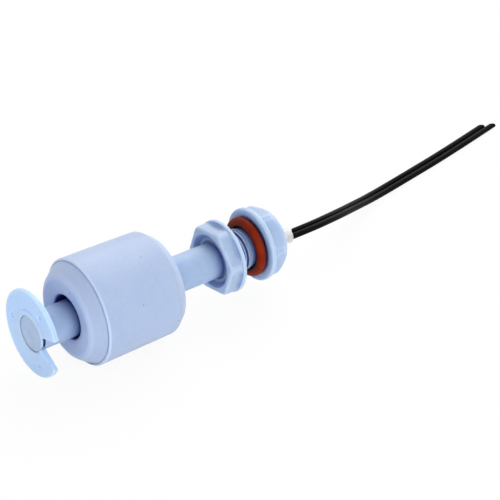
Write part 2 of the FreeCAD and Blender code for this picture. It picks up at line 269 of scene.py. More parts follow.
# %% Sewing a grid into a mesh
def sew(name, grid, wrap_rows=False, wrap_columns=True, sharp=35):
    """A closed mesh from a grid of points. Neighbouring points make a four-cornered
    face. Rows that don't wrap are closed by a pole, a fan round the middle of the
    end ring; columns that don't wrap are closed by a flat face at each end."""
    rows, columns = grid.shape[:2]
    index = np.arange(rows * columns).reshape(rows, columns)
    lower = index if wrap_rows else index[:-1]
    upper = np.roll(index, -1, axis=0) if wrap_rows else index[1:]
    if wrap_columns:
        corners = [lower, np.roll(lower, -1, axis=1), np.roll(upper, -1, axis=1), upper]
    else:
        corners = [lower[:, :-1], lower[:, 1:], upper[:, 1:], upper[:, :-1]]
    faces = np.stack(corners, axis=-1).reshape(-1, 4).tolist()
    points = grid.reshape(-1, 3)
    if not wrap_rows:
        poles = np.stack([grid[0].mean(axis=0), grid[-1].mean(axis=0)])
        points = np.concatenate([points, poles])
        first, last = rows * columns, rows * columns + 1
        ring, end = index[0], index[-1]
        faces += [[first, b, a] for a, b in zip(ring, np.roll(ring, -1))]
        faces += [[last, a, b] for a, b in zip(end, np.roll(end, -1))]
    if not wrap_columns:
        faces += [index[::-1, 0].tolist(), index[:, -1].tolist()]
    faces = outward(points, faces)
    mesh = bpy.data.meshes.new(name)
    mesh.from_pydata(points, [], faces)
    mesh.update()
    lay_uv(mesh, grid)
    mark_edges(mesh, grid)
    mesh.shade_smooth()
    mesh.set_sharp_from_angle(angle=math.radians(sharp))
    piece = bpy.data.objects.new(name, mesh)
    bpy.context.scene.collection.objects.link(piece)
    print(f"{name}: {len(mesh.vertices)} points, {len(mesh.polygons)} faces")
    return piece


# %% Grids turned round a level axis
def turned(x, radius, axis_z):
    """A grid round a level axis: each row is a ring at its own X, and the radius may
    change both along the rows and round the ring. Y is the radius times the sine of
    the angle from straight up, Z the axis's height plus the radius times its cosine."""
    angle = ring_angles(radius.shape[1])
    x = np.broadcast_to(x, radius.shape)
    return np.stack([x, radius * np.sin(angle), axis_z + radius * np.cos(angle)], axis=-1)


def ring_angles(columns):
    """Even angles round a ring, starting from straight up."""
    return np.arange(columns) * 2 * math.pi / columns


def turned_piece(name, outline, axis_z, columns=160, closed=True, sharp=35):
    """A piece turned from an outline of stations and radii."""
    radius = np.repeat(outline[:, 1:2], columns, axis=1)
    grid = turned(at(outline[:, 0:1]), radius, axis_z)
    return sew(name, grid, wrap_rows=closed, sharp=sharp)


# %% [markdown]
# ## Leads
#
# Each lead is a soft black wire whose route was settled with the construction. The
# route's points are the control points of a NURBS spline, so the wire bends smoothly
# past them, as a real one does. The spline is only a guide: its points are read back
# and a tube is carried along them, which allows the slanted cut at the ends.

# %% Routes of the leads
LEAD_D = 1.45 * MM
LEAD_ROUTES = {
    "lead_a": [
        (29.0, 0.81, 10.3), (40.5, 0.6, 10.3), (51.3, 3.55, 8.35), (61.3, 9.2, 4.25),
        (71.6, 14.05, 0.98), (84.2, 16.6, 0.74), (101.2, 19.8, 0.74), (117.9, 23.65, 0.74),
    ],
    "lead_b": [
        (29.0, -0.81, 10.3), (40.7, -1.05, 10.3), (51.9, 1.95, 8.35), (61.9, 7.65, 4.25),
        (72.0, 12.4, 0.98), (84.5, 14.9, 0.74), (102.3, 18.2, 0.74), (120.6, 22.45, 0.74),
    ],
}


def centreline(name, route):
    """Points along a NURBS spline of order 3 that has the route as control points."""
    curve = bpy.data.curves.new(name + "_line", "CURVE")
    curve.dimensions = "3D"
    curve.resolution_u = 24
    spline = curve.splines.new("NURBS")
    spline.points.add(len(route) - 1)
    flat = np.concatenate([np.array(route) * MM, np.ones((len(route), 1))], axis=1)
    spline.points.foreach_set("co", flat.ravel())
    spline.order_u = 3
    spline.use_endpoint_u = True
    guide = bpy.data.objects.new(name + "_line", curve)
    line = bpy.data.meshes.new_from_object(guide)
    points = np.empty(len(line.vertices) * 3)
    line.vertices.foreach_get("co", points)
    bpy.data.objects.remove(guide)
    return points.reshape(-1, 3)


def carried_frames(line):
    """Sideways and upward directions at each point of a line: sideways is level and
    square to the line, upward is square to both."""
    along = np.gradient(line, axis=0)
    along /= np.linalg.norm(along, axis=1)[:, None]
    side = np.cross(np.broadcast_to([0.0, 0.0, 1.0], along.shape), along)
    side /= np.linalg.norm(side, axis=1)[:, None]
    return along, side, np.cross(along, side)


# %% Lead tubes with their cut ends
CUT_SLANT = math.radians(50)
LEAD_COLUMNS = 28


def make_lead(name):
    """A tube carried along the lead's centreline. The end is one slanted cut: each
    point of the last ring moves back along the wire by its distance from the ring's
    right-hand side times the slant's tangent. Rings that the cut passes are left out."""
    line = centreline(name, LEAD_ROUTES[name])
    along, side, up = carried_frames(line)
    angle = ring_angles(LEAD_COLUMNS)[None, :, None]
    ring = np.cos(angle) * side[:, None, :] + np.sin(angle) * up[:, None, :]
    grid = line[:, None, :] + LEAD_D / 2 * ring
    from_right = LEAD_D / 2 * (1 + np.cos(ring_angles(LEAD_COLUMNS)))
    grid[-1] -= (from_right * math.tan(CUT_SLANT))[:, None] * along[-1]
    step = np.linalg.norm(np.diff(line, axis=0), axis=1)
    to_end = np.append(np.cumsum(step[::-1])[::-1], 0)
    kept = to_end > LEAD_D * math.tan(CUT_SLANT)
    kept[-1] = True
    piece = sew(name.replace("lead", "lead_wire"), grid[kept])
    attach(piece, "housing")
    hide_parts(name)
    print(f"{name}: {step.sum() / MM:.1f} mm along its middle")
    return piece


leads = {name: make_lead(name) for name in LEAD_ROUTES}

# %% [markdown]
# ## Rules for round, hexagonal and threaded walls
#
# The moulded pieces mix round, hexagonal and threaded walls. Each wall is a radius
# that depends on the angle round the stem. A hexagon's radius is the smallest of six
# flats seen from the axis, and where a turned chamfer cuts it, the smaller of the two
# radii wins. A soft minimum rounds the edge between them, because a moulded edge is
# never perfectly sharp.


# %% Wall rules
def soft_min(a, b, blend):
    """The smaller of two values, rounded where they cross: a quarter of the squared
    overlap of the blend width is taken off."""
    overlap = np.maximum(blend - np.abs(a - b), 0) / blend
    return np.minimum(a, b) - overlap ** 2 * blend / 4


def hexagon_radius(angle, across_flats, turn, blend):
    """Distance from the axis to a hexagon's wall: half the width across flats over
    the cosine of the angle from the nearest flat's middle, softened at the corners."""
    sector = math.pi / 3
    off = (angle - turn + sector / 2) % sector - sector / 2
    flat = across_flats / 2
    nearest = flat / np.cos(off)
    next_one = flat / np.cos(sector - np.abs(off))
    return soft_min(nearest, next_one, blend)


def thread_radius(station, angle, crest, depth, pitch):
    """Radius of a right-hand helical ridge. The phase is the station in pitches less
    the share of a turn; the ridge rises and falls evenly with the phase and is flat
    for an eighth of a pitch at the crest and a quarter at the root, then smoothed."""
    phase = (station / pitch - angle / (2 * math.pi)) % 1.0
    height = np.clip((np.abs(2 * phase - 1) - 0.25) / 0.625, 0, 1)
    height = height ** 2 * (3 - 2 * height)
    return crest - depth * (1 - height)


def quarter_circle(station, end, radius):
    """How far a wall leaves its line near an end, drawn in at a rounded edge or
    standing out at a fillet: the radius less the root of its square less the square
    of the way into the last stretch, which is one radius long."""
    into = np.clip(radius - np.abs(station - end), 0, radius)
    return radius - np.sqrt(radius ** 2 - into ** 2)


# %% Walls that housing and nut share
WALL_COLUMNS = 192
HEX_WIDTH = 15.0 * MM
HEX_TURN = math.radians(10)
CORNER_BLEND = 1.1 * MM
EDGE_BLEND = 0.7 * MM
FLANGE_FILLET = 0.55 * MM
PITCH = 1.0 * MM
THREAD_DEPTH = 0.6134 * PITCH


def hexagon_walls():
    """A hexagon's radii once round the stem, at the turn that head and nut share."""
    return hexagon_radius(ring_angles(WALL_COLUMNS)[None, :], HEX_WIDTH, HEX_TURN, CORNER_BLEND)


def hexagon_rows(station, cone, end, end_round, foot):
    """Two sets of rows: the flats, cut softly by a turned cone and drawn in at the
    free end, and the same flats with a fillet at the foot, where a flange begins."""
    drawn_in = quarter_circle(station, end, end_round)[:, None]
    flats = soft_min(hexagon_walls(), cone[:, None], EDGE_BLEND) - drawn_in
    return flats, flats + quarter_circle(station, foot, FLANGE_FILLET)[:, None]


def round_rows(outline):
    """Rows of a plain turned stretch: the same radius all the way round."""
    return outline[:, 0], np.repeat(outline[:, 1:2], WALL_COLUMNS, axis=1)


print(f"thread root radius {(thread_r - THREAD_DEPTH) / MM:.2f} mm")

# %% [markdown]
# ## Moulded housing
#
# Stem, thread, flange and spanner hexagon are one moulding with a blind bore. Its
# surface is one grid that starts at the middle of the stem's tip, runs along the
# outside to the hexagon's end, turns in and follows the bore back to its closed end.

# %% Housing sizes
STEM_R = 4.2 * MM
GROOVE_R = 3.6 * MM
GROOVE = (58.05 * MM, 58.70 * MM)
THREAD_END = 10.4 * MM
THREAD_LEAD_IN = 0.7 * MM
RELIEF_R = 4.75 * MM
RELIEF_LENGTH = 2.8 * MM
THREAD_PLAY = 0.03 * MM
FLANGE_R = 8.75 * MM
FLANGE_BACK = -1.2 * MM
FLANGE_ROUND = 0.45 * MM
DOME_LENGTH = 1.2 * MM
DOME_INSET = 1.2 * MM
HEAD_ROUND = 0.35 * MM
GATE_R = 1.1 * MM
GATE_DEPTH = 0.12 * MM
TIP_ROUND = 0.2 * MM
GROOVE_EDGE = 0.08 * MM
POTTING_R = 3.2 * MM
POTTING_DEPTH = 9.0 * MM
BORE_R = 2.6 * MM
BORE_END = 55.6 * MM
LEAD_IN_BLEND = 0.1 * MM
THREAD_STEP = PITCH / 18
HEAD_STEP = 0.08 * MM
STEM_STEP = 2 * MM
BORE_STEP = 4 * MM


# %% Housing
def thread_rows():
    """The thread, from its lead-in chamfer to the relief. The chamfer's cone limits
    the ridge, and the ridge fades out over one pitch before the relief."""
    station = np.arange(THREAD_END, RELIEF_LENGTH, -THREAD_STEP)
    angle = ring_angles(WALL_COLUMNS)[None, :]
    ridge = thread_radius(station[:, None], angle, thread_r, THREAD_DEPTH, PITCH)
    fade = np.clip((station - RELIEF_LENGTH) / PITCH, 0, 1)[:, None]
    ridge = thread_r - (thread_r - ridge) * fade
    cone = thread_r - np.clip(station - (THREAD_END - THREAD_LEAD_IN), 0, None)
    start = RELIEF_R + np.clip(station - RELIEF_LENGTH, 0, None)
    limit = np.minimum(cone, start)[:, None]
    return station, soft_min(ridge, limit, LEAD_IN_BLEND) - THREAD_PLAY


def head_rows():
    """The spanner hexagon from the flange to its end, cut by the dome's cone."""
    station = np.append(np.arange(FLANGE_BACK, head_end, -HEAD_STEP), head_end)
    slope = DOME_INSET / DOME_LENGTH
    cone = HEX_WIDTH / 2 - DOME_INSET + slope * (station - head_end)
    _, foot = hexagon_rows(station, cone, head_end, HEAD_ROUND, FLANGE_BACK)
    return station, np.minimum(foot, FLANGE_R - FLANGE_ROUND)


def make_housing():
    """All rows of the housing, from the stem's tip round to the bore's closed end."""
    tip = rounded([
        (stem_tip - GATE_DEPTH, POLE_R, 0), (stem_tip - GATE_DEPTH, GATE_R, 0),
        (stem_tip, GATE_R + GATE_DEPTH, FINE_EDGE), (stem_tip, STEM_R, TIP_ROUND),
        (GROOVE[1], STEM_R, GROOVE_EDGE), (GROOVE[1], GROOVE_R, 0),
        (GROOVE[0], GROOVE_R, 0), (GROOVE[0], STEM_R, GROOVE_EDGE),
        (THREAD_END, STEM_R, 0),
    ])
    flange = rounded([
        (RELIEF_LENGTH, RELIEF_R - THREAD_PLAY, 0), (0, RELIEF_R - THREAD_PLAY, FINE_EDGE),
        (0, FLANGE_R, FLANGE_ROUND), (FLANGE_BACK, FLANGE_R, FLANGE_ROUND),
        (FLANGE_BACK, HEX_WIDTH / 2, 0),
    ])[:-1]
    bore = rounded([
        (head_end, POTTING_R, 0), (head_end + POTTING_DEPTH, POTTING_R, 0),
        (head_end + POTTING_DEPTH, BORE_R, 0), (BORE_END, BORE_R, 0),
        (BORE_END, POLE_R, 0),
    ])
    parts = [round_rows(refined(tip, STEM_STEP)), thread_rows(), round_rows(flange),
             head_rows(), round_rows(refined(bore, BORE_STEP))]
    station = np.concatenate([part[0] for part in parts])
    radius = np.concatenate([part[1] for part in parts])
    piece = sew("housing_moulding", turned(at(station)[:, None], radius, stem_z), sharp=40)
    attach(piece, "housing")
    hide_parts("stem_housing")
    return piece


housing = make_housing()

# %% [markdown]
# ## Nut
#
# The nut is a hexagon with a round flange on its sealing side, moulded in one piece.
# The section is a closed loop: back face, flange rim, flats, front edge, the recess
# round the stem, and the bore. The thread inside is drawn outwards from the bore's
# wall, so that the nut can turn on the stem at any angle without touching it.

# %% Nut
NUT_BACK = 7.25 * MM
NUT_FLANGE = 0.95 * MM
NUT_HEX = 3.2 * MM
NUT_FLANGE_R = 8.65 * MM
NUT_FLANGE_ROUND = 0.3 * MM
NUT_CHAMFER = 0.3 * MM
NUT_FRONT_ROUND = 0.45 * MM
NUT_BORE_R = 5.05 * MM
NUT_COUNTERSINK = 0.5 * MM
NUT_GROOVE = 0.3 * MM
NUT_RECESS_R = 6.4 * MM
NUT_RECESS_FOOT_R = 5.4 * MM
NUT_LIP_R = 4.55 * MM
NUT_LIP = 0.30 * MM
NUT_RECESS_DEPTH = 1.3 * MM
NUT_RECESS_FLARE = 0.6 * MM
NUT_RECESS_EDGE = 0.3 * MM
NUT_LIP_EDGE = 0.08 * MM
NUT_LIP_BACK = 0.12 * MM
NUT_FRONT = NUT_BACK + NUT_FLANGE + NUT_HEX
NUT_FLOOR = NUT_FRONT - NUT_RECESS_DEPTH


def nut_outside():
    """The nut's outer rows: a flange rim with rounded edges, then the hexagon. Its
    corners are turned off by a cone, and its front edge draws in by a quarter circle."""
    rim = rounded([
        (NUT_BACK, NUT_BORE_R + NUT_COUNTERSINK + FINE_EDGE, 0),
        (NUT_BACK, NUT_FLANGE_R, NUT_FLANGE_ROUND),
        (NUT_BACK + NUT_FLANGE, NUT_FLANGE_R, NUT_FLANGE_ROUND),
        (NUT_BACK + NUT_FLANGE, HEX_WIDTH / 2, 0),
    ])[:-1]
    edge = rim[:, 0] > NUT_BACK + NUT_FLANGE - NUT_FLANGE_ROUND
    wide = np.maximum(rim[:, 1:2], np.where(edge[:, None], hexagon_walls(), 0))
    station = np.linspace(NUT_BACK + NUT_FLANGE, NUT_FRONT, 48)
    cone = HEX_WIDTH / math.sqrt(3) - NUT_CHAMFER + NUT_FRONT - station
    flats, foot = hexagon_rows(station, cone, NUT_FRONT, NUT_FRONT_ROUND, NUT_BACK + NUT_FLANGE)
    sides = np.minimum(foot, np.maximum(flats, NUT_FLANGE_R - NUT_FLANGE_ROUND))
    return np.concatenate([rim[:, 0], station]), np.concatenate([wide, sides])


def nut_inside():
    """The nut's inner rows: a dished recess in its front, a narrow lip where the thread
    begins, then the thread, then the countersink at its back."""
    recess = rounded([
        (NUT_FRONT, NUT_RECESS_R + NUT_RECESS_FLARE, 0),
        (NUT_FRONT, NUT_RECESS_R, NUT_RECESS_EDGE),
        (NUT_FLOOR + NUT_LIP, NUT_RECESS_FOOT_R, NUT_RECESS_FLARE),
        (NUT_FLOOR + NUT_LIP, NUT_LIP_R, NUT_LIP_EDGE),
        (NUT_FLOOR + NUT_LIP_BACK, NUT_LIP_R, 0),
        (NUT_FLOOR, NUT_BORE_R + NUT_GROOVE, 0),
    ])
    station = np.linspace(NUT_FLOOR, NUT_BACK, 52)
    angle = ring_angles(WALL_COLUMNS)[None, :]
    groove = thread_radius(station[:, None], angle, 0, NUT_GROOVE, PITCH)
    sink = np.clip(NUT_COUNTERSINK - (station - NUT_BACK), 0, None)[:, None]
    bore = NUT_BORE_R + np.maximum(NUT_GROOVE + groove, sink)
    recess_station, recess_radius = round_rows(recess)
    return np.concatenate([recess_station, station]), np.concatenate([recess_radius, bore])


def make_nut():
    """The nut's loop of rows, outside and inside."""
    outside, inside = nut_outside(), nut_inside()
    station = np.concatenate([outside[0], inside[0]])
    radius = np.concatenate([outside[1], inside[1]])
    grid = turned(at(station)[:, None], radius, stem_z)
    piece = sew("flanged_nut", grid, wrap_rows=True, sharp=40)
    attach(piece, "nut")
    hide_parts("hex_nut")
    return piece


nut = make_nut()

# %% [markdown]
# ## Sealing ring
#
# The ring is a plain rubber torus: a circle carried round the stem. It sits just
# clear of the flange, ready to be squeezed against the tank's wall.

# %% Sealing ring
RING_COLUMNS = 144
RING_ROWS = 40


def make_ring():
    """A torus from the CAD ring's box: its section is as wide as the box is long,
    and its middle radius is half the box's width less half the section."""
    low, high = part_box("o_ring")
    section = (high.x - low.x) / 2
    middle = (high.z - low.z) / 2 - section
    turn = ring_angles(RING_ROWS)
    x = (low.x + high.x) / 2 + section * np.sin(turn)
    radius = np.repeat((middle + section * np.cos(turn))[:, None], RING_COLUMNS, axis=1)
    piece = sew("sealing_ring", turned(x[:, None], radius, stem_z), wrap_rows=True)
    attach(piece, "housing")
    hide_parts("o_ring")
    return piece


ring = make_ring()

# %% [markdown]
# ## Float
#
# The float is a moulded cup with an inner tube, closed by a welded cap. Both are
# turned forms, and both have a closed section because they are hollow. The lip round
# the front, the shallow groove inside it, the cone up to the bore's mouth and the
# rounded edges are what the eye reads as a moulding, so each gets its own arc.

# %% Float shell
FLOAT_BACK = 25.5 * MM
CAP_EDGE = 2.2 * MM
BARREL = 19.3 * MM
DRAFT = 0.35 * MM
CROWN_HEIGHT = 3.35 * MM
CROWN_SLOPE = 1.35
CROWN_DIP = 0.5 * MM
LIP_WIDTH = 0.35 * MM
LIP_HEIGHT = 0.2 * MM
LIP_R = 11.95 * MM
LIP_ROUND = 0.45 * MM
LINE_WIDTH = 0.2 * MM
LINE_DEPTH = 0.08 * MM
FLOAT_R = 12.5 * MM
FLOAT_WALL = 1.2 * MM
FLOAT_BORE_R = 5.05 * MM
FLOAT_TUBE_R = 6.05 * MM
COLLAR_R = 7.25 * MM
SEAM = 0.05 * MM
MAGNET_GAP = 0.3 * MM
CROWN_ROUND = 1.9 * MM
CONE_FOOT = 0.35 * MM
MOUTH_ROUND = 0.6 * MM
INNER_ROUND = 0.4 * MM
FLOAT_EDGE = 0.15 * MM
FLOAT_STEP = 1.5 * MM

float_rim = FLOAT_BACK + CAP_EDGE + BARREL
float_crown = float_rim + CROWN_HEIGHT
cap_edge_r = FLOAT_R - DRAFT
magnet_front = station_of(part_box("ring_magnet")[0].x)
magnet_back = station_of(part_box("ring_magnet")[1].x)


def crown_radius(station, inward=0.0):
    """Radius of the crown's cone at a station: the foot's radius less the height over
    the slope. A cone set inwards by a wall lies lower by the wall times the length of
    a slanted step that is one wide."""
    height = station - (float_rim - LIP_HEIGHT) + inward * math.hypot(1, CROWN_SLOPE)
    return FLOAT_R - LIP_WIDTH - height / CROWN_SLOPE


def make_float_shell():
    """The cup's section as a closed loop: bore, mouth, crown, foot, lip, barrel, the
    seam against the cap, and back along the inside and the tube."""
    foot = float_rim - LIP_HEIGHT
    seam = FLOAT_BACK + CAP_EDGE + SEAM
    inner_r = FLOAT_R - FLOAT_WALL
    inner_foot = foot + CROWN_SLOPE * (FLOAT_WALL - LIP_WIDTH)
    inner_foot -= FLOAT_WALL * math.hypot(1, CROWN_SLOPE)
    ceiling = float_crown - FLOAT_WALL
    section = rounded([
        (FLOAT_BACK, FLOAT_BORE_R, FLOAT_EDGE),
        (float_crown - CROWN_DIP, FLOAT_BORE_R, MOUTH_ROUND),
        (float_crown, crown_radius(float_crown), CROWN_ROUND),
        (float_rim + CONE_FOOT, crown_radius(float_rim + CONE_FOOT), FLOAT_EDGE),
        (float_rim - LINE_DEPTH, LIP_R - LINE_WIDTH / 2, LINE_DEPTH),
        (float_rim, LIP_R, FINE_EDGE),
        (float_rim, FLOAT_R, LIP_ROUND),
        (seam, cap_edge_r, FINE_EDGE),
        (seam, inner_r, 0),
        (inner_foot, inner_r, INNER_ROUND),
        (ceiling, crown_radius(ceiling, FLOAT_WALL), MOUTH_ROUND),
        (ceiling, COLLAR_R, INNER_ROUND),
        (magnet_front + MAGNET_GAP, COLLAR_R, FINE_EDGE),
        (magnet_front + MAGNET_GAP, FLOAT_TUBE_R, 0),
        (FLOAT_BACK, FLOAT_TUBE_R, FLOAT_EDGE),
    ], steps=10, closed=True)
    section = refined(section, FLOAT_STEP, closed=True)
    piece = turned_piece("float_cup", section, float_z, sharp=40)
    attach(piece, "float")
    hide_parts("float_shell")
    return piece


float_cup = make_float_shell()

# %% Float cap
CAP_BEVEL = 1.7 * MM
CAP_PLATE = 1.3 * MM
SPIGOT = 2.0 * MM
SPIGOT_WALL = 0.9 * MM
CAP_CORNER = 0.3 * MM
BEVEL_ROUND = 0.5 * MM


def make_float_cap():
    """The cap's section as a closed loop: bevelled plate, edge, spigot inside the
    barrel, and the collar that holds the magnet."""
    hole_r = FLOAT_TUBE_R + SEAM
    collar_end = magnet_back - MAGNET_GAP
    plate = FLOAT_BACK + CAP_PLATE
    edge = FLOAT_BACK + CAP_EDGE
    spigot_r = FLOAT_R - FLOAT_WALL - SEAM
    section = rounded([
        (FLOAT_BACK, hole_r, FINE_EDGE),
        (collar_end, hole_r, 0),
        (collar_end, hole_r + FLOAT_WALL, FINE_EDGE),
        (plate, hole_r + FLOAT_WALL, CAP_CORNER),
        (plate, spigot_r - SPIGOT_WALL, CAP_CORNER),
        (edge + SPIGOT, spigot_r - SPIGOT_WALL, 0),
        (edge + SPIGOT, spigot_r, FINE_EDGE),
        (edge, spigot_r, 0),
        (edge, cap_edge_r, FINE_EDGE),
        (FLOAT_BACK, cap_edge_r - CAP_BEVEL, BEVEL_ROUND),
    ], closed=True)
    section = refined(section, FLOAT_STEP, closed=True)
    piece = turned_piece("float_end_cap", section, float_z, sharp=40)
    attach(piece, "float")
    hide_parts("float_cap")
    return piece


float_cap = make_float_cap()

# %% [markdown]
# ## Stop clip
#
# The float's stop is a flat moulded ring with an open mouth, pushed sideways into the
# stem's groove. Its section is carried round the stem from one side of the mouth to
# the other, and the two cut sides are closed flat. A low collar stands round the
# hole, and three small dimples mark where the mould's pins were: the front face is
# lowered there by a smooth bowl.

# %% Stop clip
CLIP_R = 10.2 * MM
CLIP_BACK = GROOVE[0]
CLIP_WEB = 58.65 * MM
CLIP_FRONT = 59.25 * MM
CLIP_COLLAR = 0.15 * MM
CLIP_COLLAR_WIDTH = 1.2 * MM
CLIP_HOLE_R = 3.65 * MM
CLIP_LAND_R = 4.25 * MM
CLIP_EDGE = 0.3 * MM
CLIP_FINE = 0.05 * MM
COLLAR_ROUND = 0.07 * MM
CLIP_STEP = 0.14 * MM
MOUTH_MIDDLE = math.radians(186)
MOUTH_ANGLE = math.radians(47)
DIMPLE_CIRCLE_R = 7.5 * MM
DIMPLE_R = 0.75 * MM
DIMPLE_DEPTH = 0.3 * MM
DIMPLE_STEEPNESS = 2.2
DIMPLE_ANGLES = np.radians([-63, 63, 180])
CLIP_COLUMNS = 480


def make_clip():
    """The clip's section carried round the stem, with the dimples pressed in. The
    angle runs from +Y towards +Z, as the mouth's direction does."""
    top = CLIP_FRONT + CLIP_COLLAR
    collar_r = CLIP_LAND_R + CLIP_COLLAR_WIDTH
    section = refined(rounded([
        (CLIP_BACK, CLIP_HOLE_R, CLIP_FINE),
        (CLIP_WEB, CLIP_HOLE_R, CLIP_FINE),
        (CLIP_WEB, CLIP_LAND_R, 0),
        (top, CLIP_LAND_R, CLIP_FINE),
        (top, collar_r, COLLAR_ROUND),
        (CLIP_FRONT, collar_r, CLIP_FINE),
        (CLIP_FRONT, CLIP_R, CLIP_EDGE),
        (CLIP_BACK, CLIP_R, CLIP_EDGE),
    ], closed=True), CLIP_STEP, closed=True)
    half = MOUTH_ANGLE / 2
    angle = np.linspace(half, 2 * math.pi - half, CLIP_COLUMNS)
    station, radius = section[:, 0:1], section[:, 1:2]
    front = np.abs(station - CLIP_FRONT) < 0.001 * MM
    sunk = np.zeros((len(section), CLIP_COLUMNS))
    for dimple in DIMPLE_ANGLES:
        square = (radius ** 2 + DIMPLE_CIRCLE_R ** 2
                  - 2 * radius * DIMPLE_CIRCLE_R * np.cos(angle - dimple))
        bowl = np.clip(1 - np.sqrt(np.maximum(square, 0)) / DIMPLE_R, 0, 1)
        sunk += DIMPLE_DEPTH * np.clip(DIMPLE_STEEPNESS * bowl, 0, 1)
    turn = MOUTH_MIDDLE + angle
    depth = station - sunk * front
    grid = np.stack([at(depth), radius * np.cos(turn), stem_z + radius * np.sin(turn)], axis=-1)
    piece = sew("stop_clip", grid, wrap_rows=True, wrap_columns=False, sharp=40)
    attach(piece, "housing")
    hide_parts("retaining_clip")
    return piece


clip = make_clip()

# %% [markdown]
# ## Resin
#
# The leads are sealed into the hexagon with poured resin. It fills the bore, swells
# out of it as a small mound and creeps along the leads before it sets. The mound is
# a row of circles whose middle follows the leads down, and between the two leads the
# resin stands a little further out.

# %% Resin
RESIN_LENGTH = 5.5 * MM
RESIN_R = (3.1 * MM, 2.3 * MM, 1.8 * MM)
RESIN_REACH = (0.0, 1.65 * MM, 5.0 * MM)
RESIN_COLUMNS = 96
RESIN_FACE_ROWS = 10
RESIN_FACE_R = 0.15 * MM
RESIN_PLAY = 0.01 * MM
PLUG_GAP = 0.05 * MM
TONGUE = 0.55 * MM
TONGUE_WIDTH = 0.45 * MM
TONGUE_START = 1 * MM
TONGUE_RISE = 1.5 * MM


def make_resin():
    """Rings along the mound. Radius follows the parabola through three sections, and the
    drop grows evenly up to the last of them; the tip is a quarter of an ellipse; between
    the leads, each point moves outwards by a bell curve of its sideways offset."""
    drop = LEAD_ROUTES["lead_a"][0][2] * MM - stem_z
    mound = np.linspace(0, RESIN_REACH[2], 26)
    mound_r = np.polyval(np.polyfit(RESIN_REACH, RESIN_R, 2), mound)
    turn = np.linspace(0, math.pi / 2, 9)[1:-1]
    tip_round = RESIN_LENGTH - RESIN_REACH[2]
    tip = RESIN_REACH[2] + tip_round * np.sin(turn)
    tip_r = mound_r[-1] - tip_round * (1 - np.cos(turn))
    face = np.full(RESIN_FACE_ROWS, RESIN_LENGTH)
    face_r = np.linspace(tip_r[-1], RESIN_FACE_R, RESIN_FACE_ROWS)
    buried = POTTING_DEPTH - PLUG_GAP
    inner = POTTING_R - RESIN_PLAY
    inside = [-buried, -buried, -RESIN_PLAY, -RESIN_PLAY]
    inside_r = [POLE_R, inner, inner, RESIN_R[0] + PLUG_GAP]
    reach = np.concatenate([inside, mound, tip, face])
    radius = np.concatenate([inside_r, mound_r, tip_r, face_r])
    sink = drop * np.clip(reach / RESIN_REACH[2], 0, 1)
    angle = ring_angles(RESIN_COLUMNS)[None, :]
    y = radius[:, None] * np.sin(angle)
    z = stem_z + sink[:, None] + radius[:, None] * np.cos(angle)
    near_tip = np.clip((reach - RESIN_REACH[2] + TONGUE_START) / TONGUE_RISE, 0, 1)[:, None]
    tongue = TONGUE * near_tip * np.exp(-(y / TONGUE_WIDTH) ** 2)
    x = at(head_end - reach[:, None] - tongue)
    piece = sew("resin", np.stack([x, y, z], axis=-1), sharp=50)
    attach(piece, "housing")
    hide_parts("potting")
    return piece


resin = make_resin()

# %% [markdown]
# ## Materials: small tools
#
# Every finish is built from nodes. Short functions keep that readable: most add one
# kind of node, fill its inputs and hand back the socket that matters. One turns a
# written colour code into the linear numbers that shaders expect, and one starts a
# node group with named sockets.


# %% Node helpers
def plug(tree, made, inputs):
    """Fills a node's inputs. A socket is linked, any other value is set."""
    for key, value in inputs.items():
        if isinstance(value, bpy.types.NodeSocket):
            tree.links.new(value, made.inputs[key])
        else:
            made.inputs[key].default_value = value
    return made


def add(tree, kind, inputs=None, **settings):
    """Adds a node, makes its settings and fills its inputs."""
    made = tree.nodes.new(kind)
    for key, value in settings.items():
        setattr(made, key, value)
    return plug(tree, made, inputs or {})


def maths(tree, operation, *values):
    """One step of arithmetic on sockets or numbers, such as MULTIPLY."""
    return add(tree, "ShaderNodeMath", dict(enumerate(values)), operation=operation).outputs[0]


def mix(tree, share, a, b):
    """Mixes two colours by a share."""
    return add(tree, "ShaderNodeMix", {0: share, 6: a, 7: b}, data_type="RGBA").outputs[2]


def spread(tree, value, low, high, to_low=0.0, to_high=1.0):
    """Stretches a value from one range to another, smoothly and without overshoot."""
    made = add(tree, "ShaderNodeMapRange", {
        "Value": value, "From Min": low, "From Max": high,
        "To Min": to_low, "To Max": to_high,
    }, interpolation_type="SMOOTHSTEP")
    return made.outputs["Result"]


def linear(code):
    """A colour code such as "A0B0C0" as linear red, green, blue and alpha. Each
    channel is undone from its display curve: over 12.92 near black, else a power."""
    display = np.array([int(code[k:k + 2], 16) for k in (0, 2, 4)]) / 255
    low, high = display / 12.92, ((display + 0.055) / 1.055) ** 2.4
    return (*np.where(display <= 0.04045, low, high), 1.0)


# %% Pattern helpers
def on_piece(tree):
    """The place on the piece, in metres."""
    return add(tree, "ShaderNodeTexCoord").outputs["Object"]


def noise(tree, where, scale, detail, roughness=0.5):
    """A noise pattern, whose value drifts round one half."""
    return add(tree, "ShaderNodeTexNoise", {
        "Vector": where, "Scale": scale, "Detail": detail, "Roughness": roughness,
    }).outputs["Fac"]


def bump(tree, height, distance):
    """The normal, tilted as if the pattern stood up by the distance."""
    return add(tree, "ShaderNodeBump", {
        "Height": height, "Distance": distance, "Strength": 1.0,
    }).outputs["Normal"]


# %% Group helper
def start_group(name, takes, gives):
    """A node group with named inputs, each with a kind and a first value, and named
    outputs, each with a kind. It hands back the group, the sockets that bring the
    inputs in, and the node that the results are plugged into."""
    group = bpy.data.node_groups.new(name, "ShaderNodeTree")
    for label, (kind, value) in takes.items():
        socket = group.interface.new_socket(label, in_out="INPUT", socket_type=kind)
        socket.default_value = value
    for label, kind in gives.items():
        group.interface.new_socket(label, in_out="OUTPUT", socket_type=kind)
    take, give = group.nodes.new("NodeGroupInput"), group.nodes.new("NodeGroupOutput")
    return group, take.outputs, give
